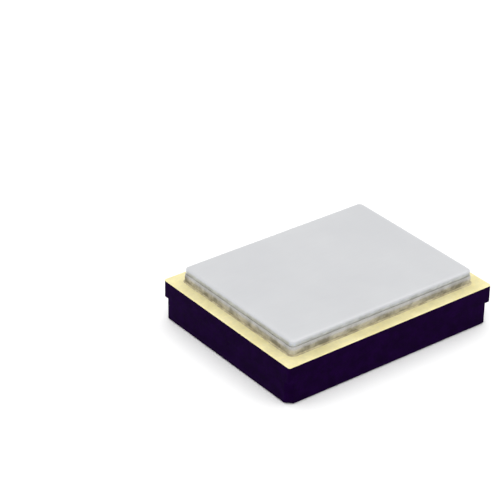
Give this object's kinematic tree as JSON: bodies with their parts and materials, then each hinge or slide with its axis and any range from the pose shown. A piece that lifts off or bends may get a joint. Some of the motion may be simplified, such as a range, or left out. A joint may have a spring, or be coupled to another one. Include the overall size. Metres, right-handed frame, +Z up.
{
  "type": "crystal oscillator",
  "caption": "Flat rectangular ceramic package with a welded metal lid and gold-plated terminals beneath, holding a quartz blank over an oscillator die, for surface mounting.",
  "frame": {"origin": "centre of the footprint, on the plane that the terminals' undersides lie in", "axes": "+X along the package's long side, +Z up through the lid; terminal 1, with the cut corner, is at -X, -Y"},
  "size_m": [0.0032, 0.0024, 0.0007],
  "materials": {
    "dark_alumina": "satin",
    "gold_plating": "satin",
    "brazing_metal": "satin",
    "ring_metal": "satin",
    "lid_metal": "satin",
    "tungsten": "matte",
    "quartz": "polished",
    "electrode_film": "satin",
    "silver_adhesive": "matte",
    "silicon": "polished"
  },
  "bodies": {
    "root": {"ceramic_package": "dark_alumina", "terminal_1": "gold_plating", "terminal_2": "gold_plating", "terminal_3": "gold_plating", "terminal_4": "gold_plating", "rim_metal": "gold_plating", "braze": "brazing_metal", "seal_ring": "ring_metal", "lid": "lid_metal", "lid_ground_via": "tungsten", "enable_trace": "tungsten", "ground_trace": "tungsten", "output_trace": "tungsten", "supply_trace": "tungsten", "crystal_trace_a": "tungsten", "crystal_trace_b": "tungsten", "crystal_land_a": "gold_plating", "crystal_land_b": "gold_plating", "glue_dot_a": "silver_adhesive", "glue_dot_b": "silver_adhesive", "quartz_blank": "quartz", "upper_electrode": "electrode_film", "lower_electrode": "electrode_film", "oscillator_die": "silicon", "die_bumps": "gold_plating"}
  },
  "joints": []
}
